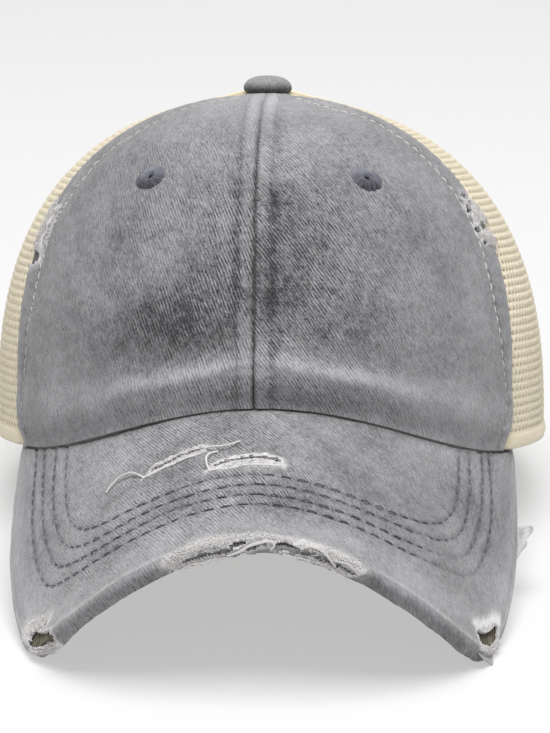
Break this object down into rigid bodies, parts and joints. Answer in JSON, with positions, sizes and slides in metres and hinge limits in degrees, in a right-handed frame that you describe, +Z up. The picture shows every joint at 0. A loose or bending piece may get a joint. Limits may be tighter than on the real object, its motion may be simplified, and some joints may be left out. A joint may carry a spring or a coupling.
{
  "type": "ponytail baseball cap",
  "caption": "Washed cloth baseball cap with net side and back panels, a curved worn visor, eyelets, a top button and a tall rear opening for a ponytail above a strap.",
  "frame": {"origin": "on the table, under the middle of the cap's box, as the cap rests on the visor's corners and the strap", "axes": "+Z up, -Y towards the visor's front edge, +X towards the wearer's left"},
  "size_m": [0.1778, 0.2672, 0.133],
  "materials": {
    "washed_twill": "matt washed twill",
    "cream_net": "matt knitted net",
    "sweatband_cotton": "matt cotton",
    "visor_board": "matt stiffener",
    "eyelet_thread": "matt thread"
  },
  "bodies": {
    "root": {"front_panel_left": "washed_twill", "front_panel_right": "washed_twill", "side_net_panel_left": "cream_net", "side_net_panel_right": "cream_net", "back_net_panel_left": "cream_net", "back_net_panel_right": "cream_net", "eyelet_left": "eyelet_thread", "eyelet_right": "eyelet_thread", "opening_binding": "washed_twill", "sweatband": "sweatband_cotton", "strap_tab_outer": "washed_twill", "strap_tab_inner": "washed_twill", "visor_upper_cloth": "washed_twill", "visor_board": "visor_board", "visor_lower_cloth": "washed_twill", "crown_button": "washed_twill"}
  },
  "joints": []
}
